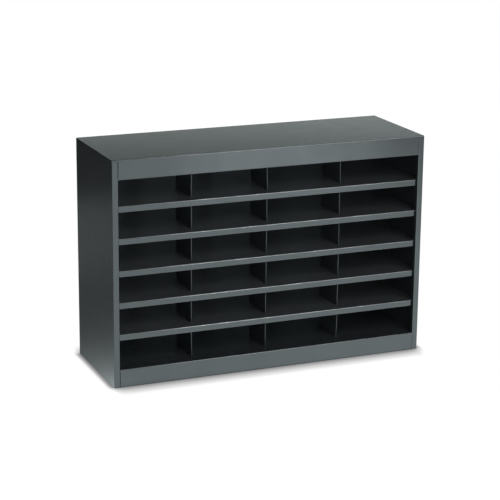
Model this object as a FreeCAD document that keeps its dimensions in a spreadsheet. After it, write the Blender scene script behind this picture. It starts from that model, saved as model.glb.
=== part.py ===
"""Pigeonhole mail sorter: a welded sheet-steel cabinet of four columns and six rows.

Row frame, in millimetres: X runs along the width, Y from the open front (-Y) to the back, and Z up.
The origin lies on the floor, under the middle of the cabinet.
"""

import FreeCAD, Part
import os
import re
import Sketcher

COLUMNS = 4
ROWS = 6

SIZES = (
    # the case
    ("overall_width", 952.5),
    ("overall_depth", 323.85),
    ("overall_height", 650),
    ("case_sheet", 0.9),
    ("bend_radius", 2),
    ("top_bend_radius", 3.5),
    # the posts, which are the folded front edges of the side panels
    ("post_width", 17),
    ("post_return", 16.5),
    ("back_flange", 16),
    ("foot_flange", 12),
    # the bands above and below the open front
    ("top_band_height", 56),
    ("base_height", 51),
    ("top_lap", 5),
    ("band_hem", 8),
    ("seam_gap", 0.8),
    ("weld_length", 7),
    ("joint_gap", 0.3),
    ("inner_flange", 15),
    # the shelves
    ("shelf_sheet", 0.9),
    ("first_shelf_height", 150.6),
    ("top_hollow", 39.9),
    ("shelf_setback", 9.5),
    ("lip_height", 17.5),
    ("lip_hem", 6),
    ("lip_relief", 2.5),
    ("shelf_flange", 13),
    ("shelf_clearance", 0.8),
    # the divider plates and the slots that hold their tabs
    ("divider_sheet", 0.9),
    ("divider_setback", 44.5),
    ("divider_depth", 120.5),
    ("divider_hem", 10),
    ("divider_clearance", 0.15),
    ("tab_length", 12),
    ("tab_spacing", 62),
    ("lower_tab_place", 26),
    ("upper_tab_place", 46),
    ("slot_end_gap", 1),
    ("slot_play", 1.85),
)

# how far each loosely hooked plate leans, in degrees, by row and column from the top left
LEANING = {
    (1, 1): 1.3,
    (1, 2): -1.8,
    (1, 3): -1.3,
    (2, 2): -1.2,
    (3, 2): 0.6,
    (5, 3): 1.3,
    (6, 1): -1.2,
    (6, 3): 1.9,
}

# places that several pieces share, as formulas of the sizes
SIDE = "overall_width / 2"
SIDE_INNER = "(overall_width / 2 - case_sheet)"
POST_INNER = "(overall_width / 2 - post_width)"
FRONT = "(-overall_depth / 2)"
BACK = "(overall_depth / 2)"
POST_REAR = "(-overall_depth / 2 + post_return)"
BACK_PANEL_FRONT = "(overall_depth / 2 - 2 * case_sheet)"
TOP_BAND_FOOT = "(overall_height - top_band_height)"
COLUMN_PITCH = "((overall_width - 2 * post_width) / %d)" % COLUMNS
SHELF_PITCH = "((overall_height - top_hollow - first_shelf_height) / %d)" % (ROWS - 1)
FLANGE_START = "(-overall_depth / 2 + post_return + 4 * bend_radius)"

doc = FreeCAD.newDocument("mail_sorter")
sizes = doc.addObject("Spreadsheet::Sheet", "sizes")
for line, (size_name, size_value) in enumerate(SIZES, start=1):
    sizes.set("A%d" % line, size_name)
    sizes.set("B%d" % line, str(size_value))
    sizes.setAlias("B%d" % line, size_name)
doc.recompute()

SIZE_WORDS = re.compile(r"\b(%s)\b" % "|".join(name for name, _ in SIZES))


def bound(formula):
    """The formula with each size name pointing at its cell."""
    return SIZE_WORDS.sub(r"sizes.\1", formula)


def value(formula):
    """What the formula gives now, as a plain number."""
    return float(sizes.evalExpression(bound(formula)))


def new_body(label):
    body = doc.addObject("PartDesign::Body", label)
    body.Label = label
    return body


def outline(body, plane, points, offset="0"):
    """A closed sketch through points, each a pair of formulas along the plane's own axes."""
    sketch = body.newObject("Sketcher::SketchObject", body.Name + "_sketch")
    support = [feature for feature in body.Origin.OriginFeatures if feature.Role == plane][0]
    sketch.AttachmentSupport = (support, [""])
    sketch.MapMode = "FlatFace"
    sketch.setExpression("AttachmentOffset.Base.z", bound(offset))
    corners = [FreeCAD.Vector(value(across), value(along), 0) for across, along in points]
    for number, corner in enumerate(corners):
        following = corners[(number + 1) % len(corners)]
        sketch.addGeometry(Part.LineSegment(corner, following), False)
    for number in range(len(corners)):
        following = (number + 1) % len(corners)
        sketch.addConstraint(Sketcher.Constraint("Coincident", number, 2, following, 1))
    for number, place in enumerate(points):
        for kind, formula in zip(("DistanceX", "DistanceY"), place):
            rule = Sketcher.Constraint(kind, -1, 1, number, 1, value(formula))
            index = sketch.addConstraint(rule)
            sketch.setExpression("Constraints[%d]" % index, bound(formula))
    return sketch


def rectangle(low, high):
    """The four corners between two opposite ones."""
    return [low, (high[0], low[1]), high, (low[0], high[1])]


def extruded(body, kind, sketch, length, reverse=False, symmetric=False):
    feature = body.newObject("PartDesign::" + kind, body.Name + "_" + kind.lower())
    feature.Profile = sketch
    feature.Reversed = reverse
    feature.SideType = "Symmetric" if symmetric else "One side"
    feature.setExpression("Length", bound(length))
    doc.recompute()
    return feature


def pad(body, sketch, length, **how):
    return extruded(body, "Pad", sketch, length, **how)


def pocket(body, sketch, length, **how):
    """Cuts the sketch into the body and stops if that took nothing away."""
    before = body.Shape.Volume
    feature = extruded(body, "Pocket", sketch, length, **how)
    if body.Shape.Volume > before - 0.01:
        raise RuntimeError(feature.Name + " cuts nothing")
    return feature


def round_bends(body, axis, places, radius):
    """Rounds the edges that run along axis ("X", "Y" or "Z") through places in the other two axes."""
    base = body.Tip
    others = [number for number in range(3) if number != "XYZ".index(axis)]
    targets = [[value(formula) for formula in place] for place in places]
    names = []
    for number, edge in enumerate(base.Shape.Edges, start=1):
        ends = [[vertex.Point[other] for other in others] for vertex in edge.Vertexes]
        for target in targets:
            if len(ends) == 2 and all(close(end, target) for end in ends):
                names.append("Edge%d" % number)
    fillet = body.newObject("PartDesign::Fillet", body.Name + "_bend")
    fillet.Base = (base, names)
    fillet.setExpression("Radius", bound(radius))
    doc.recompute()
    return fillet


def close(first, second):
    return all(abs(one - other) < 1e-4 for one, other in zip(first, second))


def folded_sheet(body, plane, axis, profile, length, outer, inner, symmetric=True):
    """A bent sheet: its profile padded, with the outer and inner side of each bend rounded."""
    pad(body, outline(body, plane, profile), length, symmetric=symmetric)
    for places, radius in (outer, inner):
        round_bends(body, axis, places, radius)


def cut_corners(body, side_gap, rear_gap, top, depth):
    """Cuts a plate clear of the posts in front and of the sides' rounded bends behind."""
    for sign in (-1, 1):
        outside = "%d * (%s + case_sheet)" % (sign, SIDE)
        post = rectangle(
            ("%d * (%s - %s)" % (sign, POST_INNER, side_gap), FRONT + " - case_sheet"),
            (outside, "%s + %s" % (POST_REAR, rear_gap)),
        )
        bend = rectangle(
            ("%d * (%s - bend_radius)" % (sign, SIDE_INNER), BACK_PANEL_FRONT + " - bend_radius - joint_gap"),
            (outside, BACK),
        )
        for corner in (post, bend):
            pocket(body, outline(body, "XY_Plane", corner, top), depth)


def side_flanges(body, thickness, top, drop, start, end):
    """Turned-down ends that lie flat against the inner faces of both side panels."""
    for sign in (-1, 1):
        low = ("%d * %s" % (sign, SIDE_INNER), start)
        high = ("%d * (%s - %s)" % (sign, SIDE_INNER, thickness), end)
        pad(body, outline(body, "XY_Plane", rectangle(low, high), top), drop, reverse=True)


def slot_line(body, places, depth, top):
    """Slots for one column of tabs, repeated across the width."""
    half_slot = "(tab_length / 2 + slot_end_gap)"
    middle = "(-divider_sheet / 2)"
    half_width = "(divider_sheet / 2 + slot_play)"
    for place in places:
        for step in range(2):
            along = "(%s + divider_setback + %s + %d * tab_spacing)" % (FRONT, place, step)
            low = ("%s - %s - %s" % (middle, half_width, COLUMN_PITCH), "%s - %s" % (along, half_slot))
            high = ("%s + %s - %s" % (middle, half_width, COLUMN_PITCH), "%s + %s" % (along, half_slot))
            sketch = outline(body, "XY_Plane", rectangle(low, high), top)
            slot = pocket(body, sketch, depth)
            pattern = body.newObject("PartDesign::LinearPattern", body.Name + "_slots")
            pattern.Originals = [slot]
            pattern.Direction = (sketch, ["H_Axis"])
            pattern.Occurrences = COLUMNS - 1
            pattern.setExpression("Length", bound("%d * %s" % (COLUMNS - 2, COLUMN_PITCH)))
            body.Tip = pattern
            doc.recompute()


def side_panel(label, sign):
    """One folded sheet: the side, its front post, its back flange and its foot."""
    body = new_body(label)

    def at(inset):
        return "%d * (%s - (%s))" % (sign, SIDE, inset)

    profile = [
        (at("0"), FRONT),
        (at("post_width"), FRONT),
        (at("post_width"), POST_REAR),
        (at("post_width - case_sheet"), POST_REAR),
        (at("post_width - case_sheet"), FRONT + " + case_sheet"),
        (at("case_sheet"), FRONT + " + case_sheet"),
        (at("case_sheet"), BACK + " - case_sheet"),
        (at("back_flange"), BACK + " - case_sheet"),
        (at("back_flange"), BACK),
        (at("0"), BACK),
    ]
    outer = ([profile[0], profile[1], profile[9]], "bend_radius")
    inner = ([profile[4], profile[5], profile[6]], "bend_radius - case_sheet")
    folded_sheet(body, "XY_Plane", "Z", profile, "overall_height", outer, inner, symmetric=False)

    notch = rectangle(
        (at("case_sheet"), FRONT + " - case_sheet"),
        (at("post_width + case_sheet"), POST_REAR + " + case_sheet"),
    )
    pocket(body, outline(body, "XY_Plane", notch, "overall_height"), "top_lap")
    corner = rectangle(
        (at("case_sheet"), BACK + " - bend_radius"),
        (at("back_flange + case_sheet"), BACK + " + case_sheet"),
    )
    pocket(body, outline(body, "XY_Plane", corner, "overall_height"), "bend_radius")
    foot = rectangle(
        (at("case_sheet"), FLANGE_START),
        (at("foot_flange"), BACK_PANEL_FRONT + " - bend_radius"),
    )
    pad(body, outline(body, "XY_Plane", foot), "case_sheet")


def top_panel():
    """The top sheet with the front band, the back flange and the two ends that lie inside the sides."""
    body = new_body("top_panel")
    profile = [
        (FRONT + " + band_hem", TOP_BAND_FOOT),
        (FRONT, TOP_BAND_FOOT),
        (FRONT, "overall_height"),
        (BACK, "overall_height"),
        (BACK, "overall_height - inner_flange"),
        (BACK + " - case_sheet", "overall_height - inner_flange"),
        (BACK + " - case_sheet", "overall_height - case_sheet"),
        (FRONT + " + case_sheet", "overall_height - case_sheet"),
        (FRONT + " + case_sheet", TOP_BAND_FOOT + " + case_sheet"),
        (FRONT + " + band_hem", TOP_BAND_FOOT + " + case_sheet"),
    ]
    pad(body, outline(body, "YZ_Plane", profile), "2 * " + SIDE_INNER, symmetric=True)
    round_bends(body, "X", [profile[2]], "top_bend_radius")
    round_bends(body, "X", [profile[7]], "top_bend_radius - case_sheet")
    round_bends(body, "X", [profile[1], profile[3]], "bend_radius")
    round_bends(body, "X", [profile[6], profile[8]], "bend_radius - case_sheet")

    lap_foot = "(overall_height - top_lap + joint_gap)"
    weld_top = "(%s + weld_length)" % TOP_BAND_FOOT
    for sign in (-1, 1):
        seam = "%d * (%s - seam_gap)" % (sign, POST_INNER)
        post = "%d * %s" % (sign, POST_INNER)
        outside = "%d * (%s + case_sheet)" % (sign, SIDE)
        notch = [
            (post, TOP_BAND_FOOT + " - case_sheet"),
            (post, weld_top),
            (seam, weld_top),
            (seam, lap_foot),
            (outside, lap_foot),
            (outside, TOP_BAND_FOOT + " - case_sheet"),
        ]
        sketch = outline(body, "XZ_Plane", notch, "overall_depth / 2 + case_sheet")
        pocket(body, sketch, "band_hem + 2 * case_sheet")
        back_corner = rectangle(
            ("%d * (%s - back_flange - joint_gap)" % (sign, SIDE), "overall_height - 2 * inner_flange"),
            (outside, "overall_height - bend_radius"),
        )
        sketch = outline(body, "XZ_Plane", back_corner, "-overall_depth / 2 + bend_radius")
        pocket(body, sketch, "2 * bend_radius")
    side_flanges(body, "case_sheet", "overall_height", "inner_flange", FLANGE_START,
                 BACK_PANEL_FRONT + " - bend_radius")


def base_panel():
    """The floor of the bottom row, with the kick band in front and a leg along the back."""
    body = new_body("base_panel")
    profile = [
        (FRONT + " + band_hem", "0"),
        (FRONT, "0"),
        (FRONT, "base_height"),
        (BACK_PANEL_FRONT, "base_height"),
        (BACK_PANEL_FRONT, "0"),
        (BACK_PANEL_FRONT + " - case_sheet", "0"),
        (BACK_PANEL_FRONT + " - case_sheet", "base_height - case_sheet"),
        (FRONT + " + case_sheet", "base_height - case_sheet"),
        (FRONT + " + case_sheet", "case_sheet"),
        (FRONT + " + band_hem", "case_sheet"),
    ]
    outer = ([profile[1], profile[2], profile[3]], "bend_radius")
    inner = ([profile[6], profile[7], profile[8]], "bend_radius - case_sheet")
    folded_sheet(body, "YZ_Plane", "X", profile, "2 * " + SIDE_INNER, outer, inner)

    cut_corners(body, "0", "joint_gap", "base_height + case_sheet", "base_height + 2 * case_sheet")
    for sign in (-1, 1):
        seam = "%d * (%s - seam_gap)" % (sign, POST_INNER)
        outside = "%d * (%s + case_sheet)" % (sign, SIDE)
        gap = rectangle((seam, "-case_sheet"), (outside, "base_height - weld_length"))
        sketch = outline(body, "XZ_Plane", gap, "overall_depth / 2 + case_sheet")
        pocket(body, sketch, "band_hem + 2 * case_sheet")
    side_flanges(body, "case_sheet", "base_height", "inner_flange", FLANGE_START,
                 BACK_PANEL_FRONT + " - 2 * bend_radius")
    slot_line(body, ["lower_tab_place"], "2 * case_sheet", "base_height")


def shelf(label, height, slots):
    """A shelf tray: plate, hemmed front lip, back flange, end flanges and short ones behind the posts."""
    body = new_body(label)
    lip = "(%s + shelf_setback)" % FRONT
    profile = [
        (lip + " + lip_hem", "-lip_height"),
        (lip, "-lip_height"),
        (lip, "0"),
        (BACK_PANEL_FRONT, "0"),
        (BACK_PANEL_FRONT, "-shelf_flange"),
        (BACK_PANEL_FRONT + " - shelf_sheet", "-shelf_flange"),
        (BACK_PANEL_FRONT + " - shelf_sheet", "-shelf_sheet"),
        (lip + " + shelf_sheet", "-shelf_sheet"),
        (lip + " + shelf_sheet", "-lip_height + shelf_sheet"),
        (lip + " + lip_hem", "-lip_height + shelf_sheet"),
    ]
    outer = ([profile[1], profile[2], profile[3]], "bend_radius")
    inner = ([profile[6], profile[7], profile[8]], "bend_radius - shelf_sheet")
    folded_sheet(body, "YZ_Plane", "X", profile, "2 * " + SIDE_INNER, outer, inner)

    cut_corners(body, "shelf_clearance", "shelf_clearance", "shelf_sheet", "lip_height + 2 * shelf_sheet")
    for sign in (-1, 1):
        relief = "%d * (%s - shelf_clearance - lip_relief)" % (sign, POST_INNER)
        outside = "%d * (%s + case_sheet)" % (sign, SIDE)
        gap = rectangle((relief, "-lip_height - shelf_sheet"), (outside, "-bend_radius"))
        sketch = outline(body, "XZ_Plane", gap, "overall_depth / 2 - shelf_setback + shelf_sheet")
        pocket(body, sketch, "lip_hem + 2 * shelf_sheet")
        behind_post = POST_REAR + " + shelf_clearance"
        flange = rectangle(
            ("%d * (%s - shelf_clearance)" % (sign, POST_INNER), behind_post),
            ("%d * %s" % (sign, SIDE_INNER), behind_post + " + shelf_sheet"),
        )
        pad(body, outline(body, "XY_Plane", flange), "shelf_flange", reverse=True)
    side_flanges(body, "shelf_sheet", "0", "shelf_flange", FLANGE_START,
                 BACK_PANEL_FRONT + " - 2 * bend_radius")
    slot_line(body, slots, "2 * shelf_sheet", "0")
    body.setExpression("Placement.Base.z", bound(height))
    return body


def ceiling():
    """The tray above the top row, with ears that reach forward and close the hollow posts."""
    body = shelf("ceiling_panel", shelf_height(ROWS), ["upper_tab_place"])
    for sign in (-1, 1):
        ear = rectangle(
            ("%d * (%s + case_sheet + joint_gap)" % (sign, POST_INNER), FRONT + " + bend_radius + joint_gap"),
            ("%d * %s" % (sign, SIDE_INNER), POST_REAR + " + shelf_clearance + shelf_sheet"),
        )
        pad(body, outline(body, "XY_Plane", ear), "shelf_sheet", reverse=True)


def divider(label, row, column, floor, floor_sheet, ceiling):
    """A short upright plate with a folded front edge, hooked into the shelf below and the one above."""
    body = new_body(label)
    start = "(%s + divider_setback)" % FRONT
    end = "(%s + divider_depth)" % start
    clear_height = "(%s - (%s) - 2 * divider_clearance)" % (ceiling, floor)
    profile = [
        ("-divider_sheet", start),
        ("divider_sheet", start),
        ("divider_sheet", start + " + divider_hem"),
        ("0", start + " + divider_hem"),
        ("0", end),
        ("-divider_sheet", end),
    ]
    foot = "-%s / 2" % clear_height
    head = "%s / 2" % clear_height
    pad(body, outline(body, "XY_Plane", profile, foot), clear_height)
    round_bends(body, "Z", profile[:2], "0.8 * divider_sheet")
    for place, level, sheet, down in (("lower_tab_place", foot, floor_sheet, True),
                                      ("upper_tab_place", head, "shelf_sheet", False)):
        for step in range(2):
            middle = "%s + %s + %d * tab_spacing" % (start, place, step)
            tab = rectangle(
                ("-divider_sheet", middle + " - tab_length / 2"),
                ("0", middle + " + tab_length / 2"),
            )
            sketch = outline(body, "XY_Plane", tab, level)
            pad(body, sketch, "divider_clearance + " + sheet, reverse=down)
    middle_height = "(%s + %s) / 2" % (floor, ceiling)
    across = "%d * %s" % (column - COLUMNS // 2, COLUMN_PITCH)
    lean = LEANING.get((row, column), 0)
    spot = "vector(%s; 0; %s)" % (bound(across), bound(middle_height))
    body.setExpression("Placement", "placement(%s; rotation(vector(0; 1; 0); %s))" % (spot, lean))


def back_panel():
    """A flat sheet behind the shelves, lapped by the back flanges of the sides and the top."""
    panel = doc.addObject("Part::Box", "back_panel")
    half_width = "(%s - bend_radius + case_sheet - joint_gap)" % SIDE_INNER
    for side, formula in (
        ("Length", "2 * " + half_width),
        ("Width", "case_sheet"),
        ("Height", "overall_height - bend_radius - 2 * joint_gap"),
        ("Placement.Base.x", "-" + half_width),
        ("Placement.Base.y", BACK_PANEL_FRONT),
        ("Placement.Base.z", "joint_gap"),
    ):
        panel.setExpression(side, bound(formula))


def shelf_height(number):
    """The formula for the upper face of shelf number, counted from the bottom."""
    return "(first_shelf_height + %d * %s)" % (number - 1, SHELF_PITCH)


side_panel("left_side_panel", -1)
side_panel("right_side_panel", 1)
top_panel()
base_panel()
back_panel()
for number in range(1, ROWS):
    shelf("shelf_%d" % number, shelf_height(number), ["lower_tab_place", "upper_tab_place"])
ceiling()
for row in range(1, ROWS + 1):
    level = ROWS - row
    floor, floor_sheet = (shelf_height(level), "shelf_sheet") if level else ("base_height", "case_sheet")
    ceiling = "(%s - shelf_sheet)" % shelf_height(level + 1)
    for column in range(1, COLUMNS):
        divider("divider_r%d_c%d" % (row, column), row, column, floor, floor_sheet, ceiling)
doc.recompute()

for item in doc.Objects:
    if {"Invalid", "Error"} & set(item.State):
        raise RuntimeError("%s failed: %s" % (item.Name, item.State))

pieces = [item for item in doc.Objects if item.TypeId in ("PartDesign::Body", "Part::Box")]
for piece in pieces:
    if piece.Shape.isNull() or not piece.Shape.isValid() or len(piece.Shape.Solids) != 1:
        raise RuntimeError(piece.Label + " is not one sound solid")

os.makedirs("parts", exist_ok=True)
for piece in pieces:
    piece.Shape.exportStep("parts/%s.step" % piece.Label)
print("wrote %d pieces" % len(pieces))
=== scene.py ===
"""Looks of the pigeonhole mail sorter: charcoal powder-coated sheet steel on a white studio floor.

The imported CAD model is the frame, in metres, +Z up, its front towards -Y. Nothing here changes a shape:
the script paints the CAD nodes, lays a floor, hangs the lamps and places the camera.

Floor and world look different to each kind of ray. To the camera they are white. To the paint's gloss
they are a lit table in a dim room, which the sheets mirror. All other rays see a plain white floor and a
world that is almost dark, so that the softboxes give nearly all the light.
"""

import math

import bpy
from mathutils import Matrix, Vector


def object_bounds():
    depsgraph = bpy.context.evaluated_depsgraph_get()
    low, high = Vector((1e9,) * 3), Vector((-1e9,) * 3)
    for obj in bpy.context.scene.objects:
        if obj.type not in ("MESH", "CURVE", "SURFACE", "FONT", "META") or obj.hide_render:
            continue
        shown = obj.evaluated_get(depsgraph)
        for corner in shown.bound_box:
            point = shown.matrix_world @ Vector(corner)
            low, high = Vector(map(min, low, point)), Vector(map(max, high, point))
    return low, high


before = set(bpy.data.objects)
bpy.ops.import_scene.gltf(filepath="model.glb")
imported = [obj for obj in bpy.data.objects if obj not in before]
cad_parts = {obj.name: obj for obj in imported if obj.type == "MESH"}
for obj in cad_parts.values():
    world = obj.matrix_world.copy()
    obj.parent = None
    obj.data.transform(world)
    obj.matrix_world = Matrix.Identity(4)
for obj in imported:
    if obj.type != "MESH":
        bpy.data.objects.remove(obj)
cad_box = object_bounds()

# ------------------------------------------------------------------ camera, fitted to the photograph
IMAGE_WIDTH = 500  # pixels of the square picture
FOCAL_PIXELS = 1737.3
SENSOR_WIDTH = 36.0  # mm
CAMERA_AZIMUTH = -22.982  # degrees from the front, negative is to the left
CAMERA_ELEVATION = 15.615
CAMERA_ROLL = 0.574
CAMERA_DISTANCE = 5.09  # metres
CAMERA_TARGET = (-0.001, 0.0, 0.3112)  # the place in the middle of the picture

# ------------------------------------------------------------------ paint
CHARCOAL = (0.100, 0.114, 0.121)
CHARCOAL_DEEP = (0.092, 0.105, 0.112)
TONE_DRIFT_PER_METRE = 7.0  # from the one to the other
BACK_PAINTED_LIGHT = 1.3  # the back panel is painted paler than the case, painted light that brightens the dim backs of the compartments
FLAKE = 0.3  # the share of the paint that shines like metal
SHEEN_TINT = (0.88, 0.98, 1.0)  # its reflections are slightly cool
CASE_GLOSS = (0.19, 0.23)  # roughness, from the glossiest place to the dullest
SHELF_GLOSS = (0.20, 0.25)  # the back panel's too
DIVIDER_GLOSS = (0.28, 0.34)
GLOSS_DRIFT_PER_METRE = 23.0
NOISE_SPAN = (0.35, 0.65)  # where most values of a noise lie

# bumps to the metre, their height in metres, and the detail and roughness of their noise
BUMPS = (
    (5.0, 0.00015, 1.0, 0.5),  # slow waves of the sheet
    (420.0, 0.000012, 2.0, 0.4),  # orange peel
    (1800.0, 0.000002, 1.0, 0.5),  # grain
)

# ------------------------------------------------------------------ dust and scuffs, on the shelves alone
DUST = (0.255, 0.268, 0.274)
DUST_MOST = 0.32  # the share of the paint's colour that it hides where it is thickest
DUST_LEAST = 0.85  # how thick it is at its thinnest, as a share of that
DUST_PATCHES_PER_METRE = 9.0
DUST_OVER_FLAKE = 2.7  # how many times more of the metallic share it hides than of the colour
DUSTY_SLOPES = (0.5, 0.95)  # the upward part of the normal, from no dust to full dust
SCUFFS_PER_METRE = (70.0, 4.0, 1.0)  # long in the direction in which mail slides
SCUFF_SPAN = (0.5, 0.75)  # the values of their noise from no scuff to a full one
SCUFF_DULLNESS = 0.01  # what they add to the roughness

# ------------------------------------------------------------------ wear and painted highlight, along the bends
WORN_HIGHLIGHT_COLOUR = (0.68, 0.72, 0.74)  # the paint rubbed thin, and painted bright as a highlight on the bends
WORN_HIGHLIGHT_FLAKE = 0.9
WORN_HIGHLIGHT_FRONT = 0.95  # how much of it at the front, where hands and mail pass and where the painted highlight lines lie
WORN_HIGHLIGHT_BEHIND = 0.05
WORN_HIGHLIGHT_DEPTHS = (-0.05, 0.08)  # y, in metres, where it goes from the one to the other
WORN_HIGHLIGHT_LEFT_END = 0.25  # the share of it at the left end, where the painted highlight is dim
WORN_HIGHLIGHT_LEFT_SPAN = (-0.45, -0.2)  # x, in metres, from that share to all of it
WORN_HIGHLIGHT_UPRIGHT = 0.1  # the share of it on bends that do not face up, which get little of the painted highlight
WORN_HIGHLIGHT_SLOPES = (0.05, 0.35)  # the upward part of the normal, from that share to all of it
WORN_HIGHLIGHT_PATCHES_PER_METRE = 31.0
WORN_HIGHLIGHT_PATCHES_LEAST = 0.6  # the share of it in the least worn patches
CASE_WORN_HIGHLIGHT = 0.5  # the case has half as much wear and painted highlight at the front
BEND_TO_FLAT = (0.9, 0.995)  # the largest part of the normal, on a bend and on a flat

# ------------------------------------------------------------------ floor
WHITE = (1.0, 1.0, 1.0)
FLOOR_WHITE = 0.86  # to all rays but the camera's
FLOOR_WHITE_SEEN = 0.1  # to the camera, for which its glow does the rest
FLOOR_SIZE = 16.0
FLOOR_DROP = 0.0005  # it lies so far under the cabinet's foot

SHADOW_REACH = 0.072  # metres of soft shadow at the foot, in front and behind
SHADOW_REACH_LEFT = 0.022
SHADOW_REACH_RIGHT = 0.02
SHADOW_LEFT_SPAN = (-0.492, -0.468)  # x, in metres, where the reach changes
SHADOW_RIGHT_SPAN = (0.46, 0.50)
SHADOW_DEPTH = 2.2  # the power that deepens it
SHADOW_SAMPLES = 16

# what the paint's gloss sees of the floor, as a table: radiance, and x or y in metres
GLOW_TINT = (0.95, 1.0, 0.99)
TABLE_GLOW = 1.68  # in front
TABLE_FAR = 0.75  # the share of it left far in front
TABLE_FAR_SPAN = (-2.2, -0.3)  # y, from that share to all of it
TABLE_UNLIT = 0.5  # the share of it left on the far right
TABLE_LIT_SPAN = (1.3, 1.5)  # x, from all of it to that share
TABLE_LEFT_SPAN = (-0.4, 0.6)  # x, from the dim side behind on the left to the lit side on the right
TABLE_DIM = 0.075  # what is left behind on the left
TABLE_DIM_FAR = 0.155  # and towards its far edge there
TABLE_DIM_SPAN = (0.5, 1.3)  # y, from the one to the other
DIM_FROM = -0.2  # y, from where it dims backwards
DIM_WITHIN = 0.185  # metres for a factor of e
TABLE_END = 1.95  # y of its far edge on the left

# ------------------------------------------------------------------ world
AMBIENT = 0.005  # the least radiance of the world, to any ray
# what the paint's gloss sees of it: radiances, and spans of the upward part of the way it looks
HORIZON_GLOW = 0.48  # a low strip of light above the table
HORIZON_TOP = (0.04, 0.12)
WALLS_GLOW = 0.3  # dim walls all round, but not where the backdrop box stands
WALLS_TOP = (0.55, 0.75)
CEILING_GLOW = 0.96  # which gives the light lines along the upper bends
CEILING_FOOT = (0.6, 0.85)
BACKDROP_WAY = (0.39, 0.92, 0.0)
BACKDROP_SPAN = (0.5, 0.8)  # the share of the way it looks that points there, from full walls to none

# ------------------------------------------------------------------ lamps
# name: (x, y, z of its middle, width, height, radiance); each box is turned to the cabinet
LAMPS = {
    "high_softbox": (1.3, -2.4, 2.5, 1.0, 0.7, 3.3),
    "front_softbox": (0.02, -3.15, 1.6, 3.0, 2.2, 1.15),
    "low_left_softbox": (-0.9, -3.3, 0.6, 1.0, 0.8, 1.3),
    "standing_softbox": (0.97, -2.3, 0.26, 0.8, 0.5, 1.7),
    "backdrop_softbox": (1.6, 3.4, 0.75, 3.0, 1.3, 0.99),
    "right_softbox": (3.5, 0.2, 1.4, 1.6, 1.2, 0.6),
    "left_softbox": (-3.5, 0.2, 1.65, 1.6, 0.9, 0.3),
}
LAMP_TINTS = {"backdrop_softbox": (0.92, 1.0, 0.97)}  # the others are white


def direction(azimuth, elevation):
    """The unit vector from the object towards a place, azimuth 0 being straight in front, in degrees."""
    turn, lift = math.radians(azimuth), math.radians(elevation)
    return Vector((math.sin(turn) * math.cos(lift), -math.cos(turn) * math.cos(lift), math.sin(lift)))


def make_camera():
    """The camera that took the photograph, as fitted to the cabinet's corners and edges."""
    back = direction(CAMERA_AZIMUTH, CAMERA_ELEVATION)
    right = Vector((0.0, 0.0, 1.0)).cross(back).normalized()
    up = back.cross(right)
    roll = math.radians(CAMERA_ROLL)
    right, up = (
        right * math.cos(roll) + up * math.sin(roll),
        up * math.cos(roll) - right * math.sin(roll),
    )
    data = bpy.data.cameras.new("camera")
    data.sensor_fit = "HORIZONTAL"
    data.sensor_width = SENSOR_WIDTH
    data.lens = FOCAL_PIXELS / IMAGE_WIDTH * SENSOR_WIDTH
    camera = bpy.data.objects.new("camera", data)
    bpy.context.collection.objects.link(camera)
    turn = Matrix((right, up, back)).transposed().to_4x4()
    camera.matrix_world = Matrix.Translation(Vector(CAMERA_TARGET) + back * CAMERA_DISTANCE) @ turn
    bpy.context.scene.camera = camera


class Graph:
    """A short way to write the nodes of a material or of the world."""

    def __init__(self, owner):
        owner.use_nodes = True
        self.tree = owner.node_tree
        self.tree.nodes.clear()

    def give(self, socket, given):
        """Links a socket, or sets it to a number, a vector or a colour."""
        if isinstance(given, bpy.types.NodeSocket):
            self.tree.links.new(given, socket)
        elif socket.type == "RGBA":
            socket.default_value = (*given, 1.0)
        else:
            socket.default_value = given

    def add(self, kind, settings=None, **inputs):
        """A node of that kind, its settings set and its inputs given."""
        node = self.tree.nodes.new(kind)
        for key, setting in (settings or {}).items():
            setattr(node, key, setting)
        for key, given in inputs.items():
            self.give(node.inputs[key.replace("_", " ")], given)
        return node

    def coordinates(self, kind):
        """The texture coordinates of that kind."""
        return self.add("ShaderNodeTexCoord").outputs[kind]

    def parts(self, vector):
        """The X, Y and Z of a vector."""
        return self.add("ShaderNodeSeparateXYZ", Vector=vector).outputs

    def math(self, operation, first, *others):
        """The numbers worked together in turn, or a single number worked by itself."""
        for other in others or (0.0,):
            node = self.add("ShaderNodeMath", {"operation": operation})
            self.give(node.inputs[0], first)
            self.give(node.inputs[1], other)
            first = node.outputs[0]
        return first

    def noise(self, vector, scale, detail, roughness=0.5):
        """A noise from 0 to 1 with so many bumps to the metre."""
        shape = {"Scale": scale, "Detail": detail, "Roughness": roughness}
        return self.add("ShaderNodeTexNoise", Vector=vector, **shape).outputs["Fac"]

    def spread(self, value, low, high, span=NOISE_SPAN, way="LINEAR"):
        """low to high, as the value goes from one end of the span to the other."""
        start, end = span
        ends = {"From_Min": start, "From_Max": end, "To_Min": low, "To_Max": high}
        node = self.add("ShaderNodeMapRange", {"interpolation_type": way}, Value=value, **ends)
        return node.outputs["Result"]

    def fade(self, value, low, high, span):
        """As spread, with soft ends."""
        return self.spread(value, low, high, span, "SMOOTHSTEP")

    def mix(self, factor, first, second):
        """Two colours mixed by a factor."""
        node = self.add("ShaderNodeMix", {"data_type": "RGBA"})
        for index, given in ((0, factor), (6, first), (7, second)):
            self.give(node.inputs[index], given)
        return node.outputs[2]


def bumpy_normal(g, place):
    """The normal under all the bumps, each kind laid on the one before."""
    normal = None
    for scale, height, detail, roughness in BUMPS:
        noise = g.noise(place, scale, detail, roughness)
        bump = g.add("ShaderNodeBump", Height=noise, Distance=height, Strength=1.0)
        if normal:
            g.give(bump.inputs["Normal"], normal)
        normal = bump.outputs["Normal"]
    return normal


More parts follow.
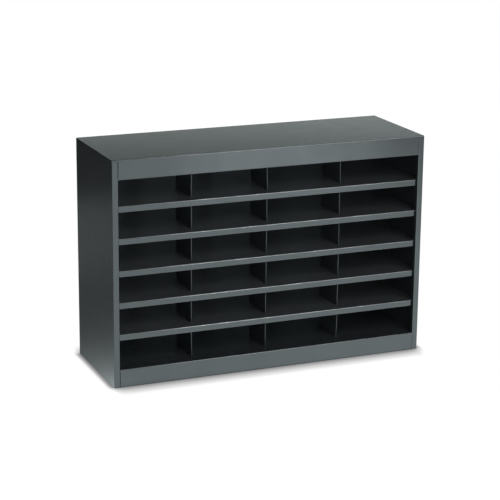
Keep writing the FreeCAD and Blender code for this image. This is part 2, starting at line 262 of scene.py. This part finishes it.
def wear_and_highlight(g, place, rubbed_and_lit):
    """How far the paint is rubbed and painted bright as a highlight: along the bends, most in front and
    facing up.
    """
    normal = g.parts(g.coordinates("Normal"))
    across, depth, _ = g.parts(place)
    largest = g.math("MAXIMUM", *(g.math("ABSOLUTE", normal[axis]) for axis in "XYZ"))
    patches = g.noise(place, WORN_HIGHLIGHT_PATCHES_PER_METRE, detail=4.0)
    return g.math(
        "MULTIPLY",
        g.spread(largest, 1.0, 0.0, BEND_TO_FLAT),
        g.spread(normal["Z"], WORN_HIGHLIGHT_UPRIGHT, 1.0, WORN_HIGHLIGHT_SLOPES),
        g.spread(patches, WORN_HIGHLIGHT_PATCHES_LEAST, 1.0),
        g.spread(depth, rubbed_and_lit * WORN_HIGHLIGHT_FRONT, WORN_HIGHLIGHT_BEHIND, WORN_HIGHLIGHT_DEPTHS),
        g.fade(across, WORN_HIGHLIGHT_LEFT_END, 1.0, WORN_HIGHLIGHT_LEFT_SPAN),
    )


def dust_over(g, place, dust, colour, gloss):
    """The paint's colour, gloss and metallic share where dust and long scuffs lie on what faces up."""
    up = g.spread(g.parts(g.coordinates("Normal"))["Z"], 0.0, 1.0, DUSTY_SLOPES)
    patches = g.noise(place, DUST_PATCHES_PER_METRE, detail=4.0)
    hidden = g.math("MULTIPLY", g.spread(patches, DUST_LEAST * dust, dust), up)
    bare = g.math("SUBTRACT", 1.0, g.math("MULTIPLY", hidden, DUST_OVER_FLAKE))
    lengthways = g.add("ShaderNodeMapping", Vector=place, Scale=SCUFFS_PER_METRE).outputs["Vector"]
    scuffs = g.spread(g.noise(lengthways, 1.0, detail=3.0), 0.0, SCUFF_DULLNESS, SCUFF_SPAN)
    dulled = g.math("ADD", gloss, g.math("MULTIPLY", scuffs, up))
    return g.mix(hidden, colour, DUST), dulled, g.math("MULTIPLY", FLAKE, bare)


def powder_coat(name, gloss_range, tone=1.0, dust=0.0, rubbed_and_lit=1.0):
    """Semi-gloss charcoal powder coat that drifts in tone and gloss, with bumps, worn bends with a
    painted highlight, and any dust.
    """
    material = bpy.data.materials.new(name)
    g = Graph(material)
    place = g.coordinates("Object")
    deep, plain = (tuple(tone * part for part in paint) for paint in (CHARCOAL_DEEP, CHARCOAL))
    colour = g.mix(g.spread(g.noise(place, TONE_DRIFT_PER_METRE, detail=3.0), 0.0, 1.0), deep, plain)
    gloss = g.spread(g.noise(place, GLOSS_DRIFT_PER_METRE, detail=3.0), *gloss_range)
    flake = FLAKE
    if dust:
        colour, gloss, flake = dust_over(g, place, dust, colour, gloss)
    worn_and_lit = wear_and_highlight(g, place, rubbed_and_lit)
    # the bright colour on the bends is partly wear and partly a painted highlight
    shader = g.add(
        "ShaderNodeBsdfPrincipled",
        Base_Color=g.mix(worn_and_lit, colour, WORN_HIGHLIGHT_COLOUR),
        Metallic=g.math("MAXIMUM", flake, g.math("MULTIPLY", worn_and_lit, WORN_HIGHLIGHT_FLAKE)),
        Roughness=gloss,
        Specular_Tint=SHEEN_TINT,
        Normal=bumpy_normal(g, place),
    )
    g.add("ShaderNodeOutputMaterial", Surface=shader.outputs["BSDF"])
    return material


def paint_nodes():
    """Gives every CAD node its paint, by the first word of its name."""
    paints = {
        "case": powder_coat("case_paint", CASE_GLOSS, rubbed_and_lit=CASE_WORN_HIGHLIGHT),
        "shelf": powder_coat("shelf_paint", SHELF_GLOSS, dust=DUST_MOST),
        # the back panel's paler paint is painted light for the dim compartment backs
        "back": powder_coat("back_paint_lightened", SHELF_GLOSS, tone=BACK_PAINTED_LIGHT),
        "divider": powder_coat("divider_paint", DIVIDER_GLOSS),
    }
    for name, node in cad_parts.items():
        kind = name.split("_")[0]
        for material_slot in node.material_slots:
            material_slot.material = paints.get(kind, paints["case"])


def seen_by_camera(g, path):
    """1 for the rays that show the background as it is: the camera's, also through glass."""
    return g.math("MAXIMUM", path["Is Camera Ray"], path["Is Transmission Ray"])


def beside_cabinet(g, place):
    """0 under the cabinet's own foot, so that no glow leaks through its slots, and 1 all round it."""
    half_size = (cad_box[1] - cad_box[0]) / 2
    across = g.math("DIVIDE", g.math("ABSOLUTE", place["X"]), half_size.x)
    along = g.math("DIVIDE", g.math("ABSOLUTE", place["Y"]), half_size.y)
    return g.math("GREATER_THAN", g.math("MAXIMUM", across, along), 1.0)


def foot_shadow(g, place):
    """1 on the open floor and less in the soft shadow at the foot, which is narrow on both sides."""
    right_loss = g.fade(place["X"], 0.0, SHADOW_REACH - SHADOW_REACH_RIGHT, SHADOW_RIGHT_SPAN)
    left_loss = g.fade(place["X"], SHADOW_REACH - SHADOW_REACH_LEFT, 0.0, SHADOW_LEFT_SPAN)
    reach = g.math("SUBTRACT", SHADOW_REACH, g.math("ADD", right_loss, left_loss))
    shade = g.add("ShaderNodeAmbientOcclusion", {"samples": SHADOW_SAMPLES}, Distance=reach).outputs["AO"]
    return g.math("POWER", shade, SHADOW_DEPTH)


def table_glow(g, place):
    """What the gloss sees of the table: bright in front and on the right, and dim behind on the left."""
    x, y = place["X"], place["Y"]
    behind = g.math("MAXIMUM", g.math("SUBTRACT", y, DIM_FROM), 0.0)
    fall = g.math("EXPONENT", g.math("DIVIDE", behind, -DIM_WITHIN))
    dim = g.fade(y, TABLE_DIM, TABLE_DIM_FAR, TABLE_DIM_SPAN)
    dim_side = g.math("ADD", dim, g.math("MULTIPLY", fall, TABLE_GLOW - TABLE_DIM))
    on_table = g.math("SUBTRACT", 1.0, g.math("GREATER_THAN", y, TABLE_END))
    dim_side = g.math("MULTIPLY", dim_side, on_table)
    far = g.spread(y, TABLE_GLOW * TABLE_FAR, TABLE_GLOW, TABLE_FAR_SPAN)
    lit_side = g.math("MULTIPLY", far, g.fade(x, 1.0, TABLE_UNLIT, TABLE_LIT_SPAN))
    leftward = g.fade(x, 1.0, 0.0, TABLE_LEFT_SPAN)
    dim_share = g.math("MULTIPLY", leftward, g.math("GREATER_THAN", y, DIM_FROM))
    lit_share = g.math("SUBTRACT", 1.0, dim_share)
    return g.math("ADD", g.math("MULTIPLY", dim_side, dim_share), g.math("MULTIPLY", lit_side, lit_share))


def floor_paint():
    """White with a soft shadow at the foot to the camera, and a table's glow to the paint's gloss."""
    material = bpy.data.materials.new("floor_white")
    g = Graph(material)
    path = g.add("ShaderNodeLightPath").outputs
    place = g.parts(g.coordinates("Object"))
    seen = seen_by_camera(g, path)
    beside = beside_cabinet(g, place)
    white = g.math("MULTIPLY", foot_shadow(g, place), seen, beside)
    glow = g.math("MULTIPLY", table_glow(g, place), beside, path["Is Glossy Ray"])
    tint = g.mix(seen, GLOW_TINT, WHITE)
    light = g.add("ShaderNodeEmission", Strength=g.math("ADD", white, glow), Color=tint)
    colour = g.spread(seen, FLOOR_WHITE, FLOOR_WHITE_SEEN, (0.0, 1.0))
    diffuse = g.add("ShaderNodeBsdfDiffuse", Color=colour)
    both = g.add("ShaderNodeAddShader")
    g.give(both.inputs[0], diffuse.outputs["BSDF"])
    g.give(both.inputs[1], light.outputs["Emission"])
    g.add("ShaderNodeOutputMaterial", Surface=both.outputs["Shader"])
    return material


def make_floor():
    """A square floor just under the cabinet's foot."""
    half = FLOOR_SIZE / 2
    corners = [(-half, -half, 0), (half, -half, 0), (half, half, 0), (-half, half, 0)]
    mesh = bpy.data.meshes.new("floor")
    mesh.from_pydata(corners, [], [(0, 1, 2, 3)])
    mesh.materials.append(floor_paint())
    floor = bpy.data.objects.new("floor", mesh)
    bpy.context.collection.objects.link(floor)
    floor.location.z = -FLOOR_DROP


def room_glow(g):
    """What the gloss sees above the table: a low horizon, dim walls and a ceiling."""
    way = g.coordinates("Generated")
    up = g.parts(way)["Z"]
    backward = g.add("ShaderNodeVectorMath", {"operation": "DOT_PRODUCT"})
    g.give(backward.inputs[0], way)
    g.give(backward.inputs[1], BACKDROP_WAY)
    horizon = g.fade(up, HORIZON_GLOW, 0.0, HORIZON_TOP)
    walls = g.math(
        "MULTIPLY",
        g.fade(up, 0.0, WALLS_GLOW, HORIZON_TOP),
        g.fade(up, 1.0, 0.0, WALLS_TOP),
        g.fade(backward.outputs["Value"], 1.0, 0.0, BACKDROP_SPAN),
    )
    ceiling = g.fade(up, 0.0, CEILING_GLOW, CEILING_FOOT)
    return g.math("ADD", horizon, walls, ceiling)


def make_world():
    """White to the camera, a dim room to the paint's gloss, and almost dark to all other rays."""
    world = bpy.data.worlds.new("world")
    bpy.context.scene.world = world
    g = Graph(world)
    path = g.add("ShaderNodeLightPath").outputs
    mirrored = g.math("MULTIPLY", room_glow(g), path["Is Glossy Ray"])
    strength = g.math("MAXIMUM", seen_by_camera(g, path), mirrored, AMBIENT)
    background = g.add("ShaderNodeBackground", Strength=strength, Color=WHITE)
    g.add("ShaderNodeOutputWorld", Surface=background.outputs["Background"])


def make_lamps():
    """Softboxes hung round the cabinet, each turned to its middle and hidden from the camera."""
    middle = (cad_box[0] + cad_box[1]) / 2
    for name, (x, y, z, width, height, radiance) in LAMPS.items():
        data = bpy.data.lights.new(name, "AREA")
        data.shape = "RECTANGLE"
        data.size, data.size_y = width, height
        data.energy = radiance * width * height * math.pi
        data.color = LAMP_TINTS.get(name, WHITE)
        lamp = bpy.data.objects.new(name, data)
        bpy.context.collection.objects.link(lamp)
        lamp.location = (x, y, z)
        lamp.rotation_euler = (lamp.location - middle).to_track_quat("Z", "Y").to_euler()
        lamp.visible_camera = False


make_camera()
paint_nodes()
make_floor()
make_world()
make_lamps()

bpy.context.scene.view_settings.view_transform = "Standard"
